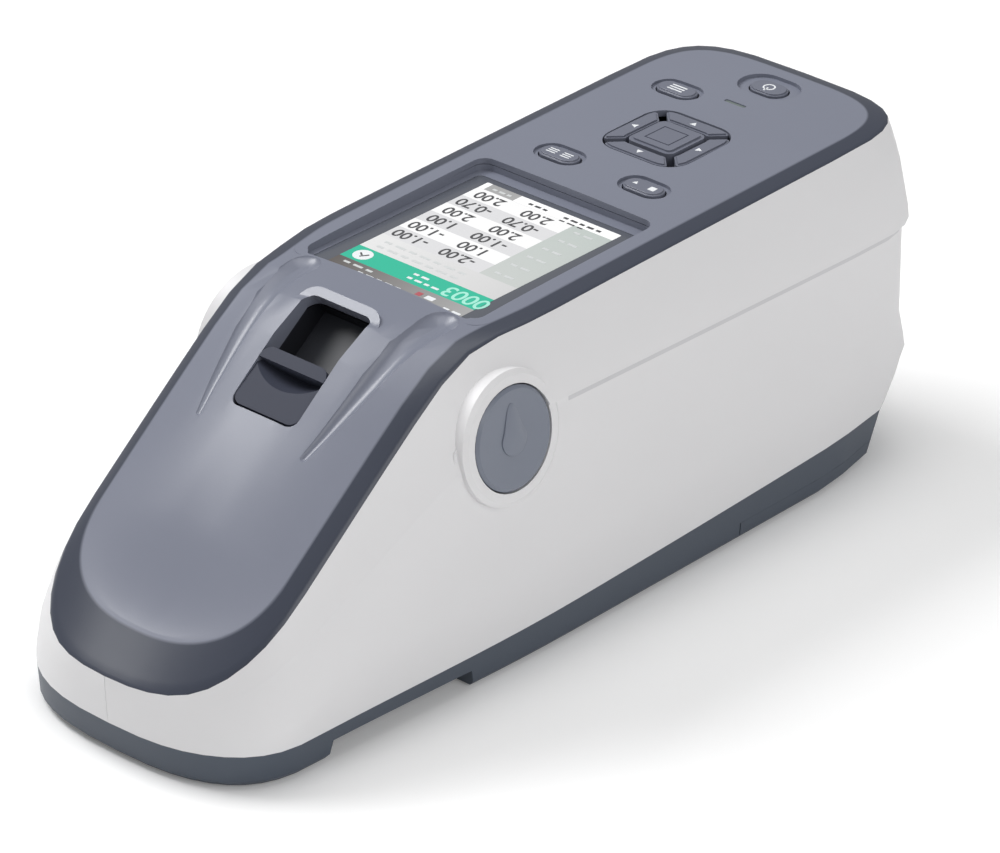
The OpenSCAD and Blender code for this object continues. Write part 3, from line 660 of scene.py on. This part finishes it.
joined([bar(beside("save_key", 2.4), (1.7 * MM, 1.7 * MM)), disc(beside("save_key", -2.4), 0.8 * MM, 3)],
       "save_key_marks", "ink", "save_key")
joined([bar(beside("page_key", s, t), (2.6 * MM, 0.35 * MM)) for s in (-2, 2) for t in (-0.8, 0, 0.8)],
       "page_key_marks", "ink", "page_key")
joined([bar(beside("menu_key", 0, t), (4.2 * MM, 0.45 * MM)) for t in (-1, 0, 1)],
       "menu_key_marks", "ink", "menu_key")
joined([hoop(beside("power_key", 0), 1.5 * MM, 0.4 * MM),
        bar(beside("power_key", 0, -1.2), (0.45 * MM, 1.7 * MM))], "power_key_mark", "ink", "power_key")

square = hoop(beside("enter_key", 0), SQUARE_HALF * math.sqrt(2), SQUARE_LINE, 4, math.radians(45))
joined([square], "enter_key_square", "door", "enter_key")
print("marks on the keys, and a square on the middle key")

# %% [markdown]
# A low drop stands out of the dished face of each measure button. It starts as a disc, and a loop
# draws its upper side out to a point: a corner moves the more, the nearer it is to that side. Then
# the drop is raised with a soft edge and turned with the leaning wall.

# %% Drops on the measure buttons
BUTTON_SPOT = Vector((38.7 * MM, -30 * MM, 56.5 * MM))
BUTTON_TURN = math.radians(82)
DROP_RADIUS, DROP_POINT = 3.7 * MM, 4.4 * MM
DROP_WAIST = 0.9
DROP_START, DROP_HEIGHT = 0.6 * MM, 0.42 * MM
DROP_EDGE, DROP_CROWN = 0.35 * MM, 0.16 * MM
for node, side in (("button_right", 1), ("button_left", -1)):
    bpy.ops.object.select_all(action="DESELECT")
    bpy.ops.mesh.primitive_circle_add(vertices=48, radius=DROP_RADIUS, fill_type="NGON")
    drop = bpy.context.active_object
    for corner in drop.data.vertices:
        reach = max(0, -side * corner.co.x / DROP_RADIUS)
        corner.co.x -= side * DROP_POINT * reach ** 4
        corner.co.y *= 1 - DROP_WAIST * reach ** 2 * (1 - reach)
        corner.co.z = DROP_START
    bpy.ops.object.mode_set(mode="EDIT")
    bpy.ops.mesh.select_all(action="SELECT")
    bpy.ops.mesh.extrude_region_move(TRANSFORM_OT_translate={"value": (0, 0, DROP_HEIGHT)})
    bpy.ops.mesh.inset(thickness=DROP_EDGE, depth=DROP_CROWN)
    bpy.ops.mesh.select_all(action="SELECT")
    bpy.ops.mesh.normals_make_consistent(inside=False)
    bpy.ops.object.mode_set(mode="OBJECT")
    drop.location = (side * BUTTON_SPOT.x, BUTTON_SPOT.y, BUTTON_SPOT.z)
    drop.rotation_euler = (0, side * BUTTON_TURN, 0)
    bpy.ops.object.transform_apply(location=True, rotation=True, scale=True)
    bpy.ops.object.shade_smooth_by_angle(angle=math.radians(KEY_ANGLE))
    joined([drop], node + "_drop", "button", node)
print("two raised drops")

# %% [markdown]
# A white studio surrounds the instrument. The floor is a wide pale sheet that glows faintly to the
# camera. The world is white to the camera and through glass, and a dim even light to the part, and
# three lamps give the rest.

# %% Floor, world and lamps
FLOOR_SIZE = 6
FLOOR_GLOW = 0.1
AMBIENT = 0.32
LAMP_AIM = Vector((0, 0, 40 * MM))
bpy.ops.object.select_all(action="DESELECT")
bpy.ops.mesh.primitive_plane_add(size=FLOOR_SIZE, location=(0, 0, 0))
floor = bpy.context.active_object
floor.name = "floor"
sheet = Graph("pale_floor")
paper = sheet.node("ShaderNodeTexNoise", Vector=sheet.place(), Scale=8.0)
seen = sheet.node("ShaderNodeLightPath")
sheet.surface(Base_Color=sheet.colours(paper, grey(0.93), grey(0.95)), Roughness=0.9,
              Emission_Color=sheet.colours(seen, grey(0), grey(1)), Emission_Strength=FLOOR_GLOW)
floor.data.materials.append(sheet.material)
floor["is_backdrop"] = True

world = bpy.data.worlds.new("studio")
bpy.context.scene.world = world
world.use_nodes = True
sky = world.node_tree.nodes["Background"]
path = world.node_tree.nodes.new("ShaderNodeLightPath")
glow = world.node_tree.nodes.new("ShaderNodeMath")
glow.operation = "MAXIMUM"
level = world.node_tree.nodes.new("ShaderNodeMath")
level.operation = "MULTIPLY_ADD"
world.node_tree.links.new(path.outputs["Is Camera Ray"], glow.inputs[0])
world.node_tree.links.new(path.outputs["Is Transmission Ray"], glow.inputs[1])
world.node_tree.links.new(glow.outputs[0], level.inputs[0])
level.inputs[1].default_value = 1 - AMBIENT
level.inputs[2].default_value = AMBIENT
world.node_tree.links.new(level.outputs[0], sky.inputs["Strength"])
sky.inputs["Color"].default_value = (1, 1, 1, 1)


def lamp(name, place, size, power):
    data = bpy.data.lights.new(name, "AREA")
    data.shape = "RECTANGLE"
    data.size = size[0]
    data.size_y = size[1]
    data.energy = power
    light = bpy.data.objects.new(name, data)
    bpy.context.scene.collection.objects.link(light)
    light.location = place
    light.rotation_euler = (Vector(place) - LAMP_AIM).to_track_quat("Z", "Y").to_euler()


lamp("slope_light", (-0.8, -0.22, 1.05), (0.6, 0.5), 11)
lamp("side_light", (1.3, -0.2, 0.75), (0.9, 0.9), 6)
lamp("top_light", (-0.1, 0.1, 1.5), (1.0, 1.0), 6)
print("floor, world and three lamps")

# %% Sizes and the end
seen_box = [list(corner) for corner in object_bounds()]
moved = [round((a - b) / MM, 2) for p, q in zip(seen_box, cad_box) for a, b in zip(p, q)]
print("size difference", moved)
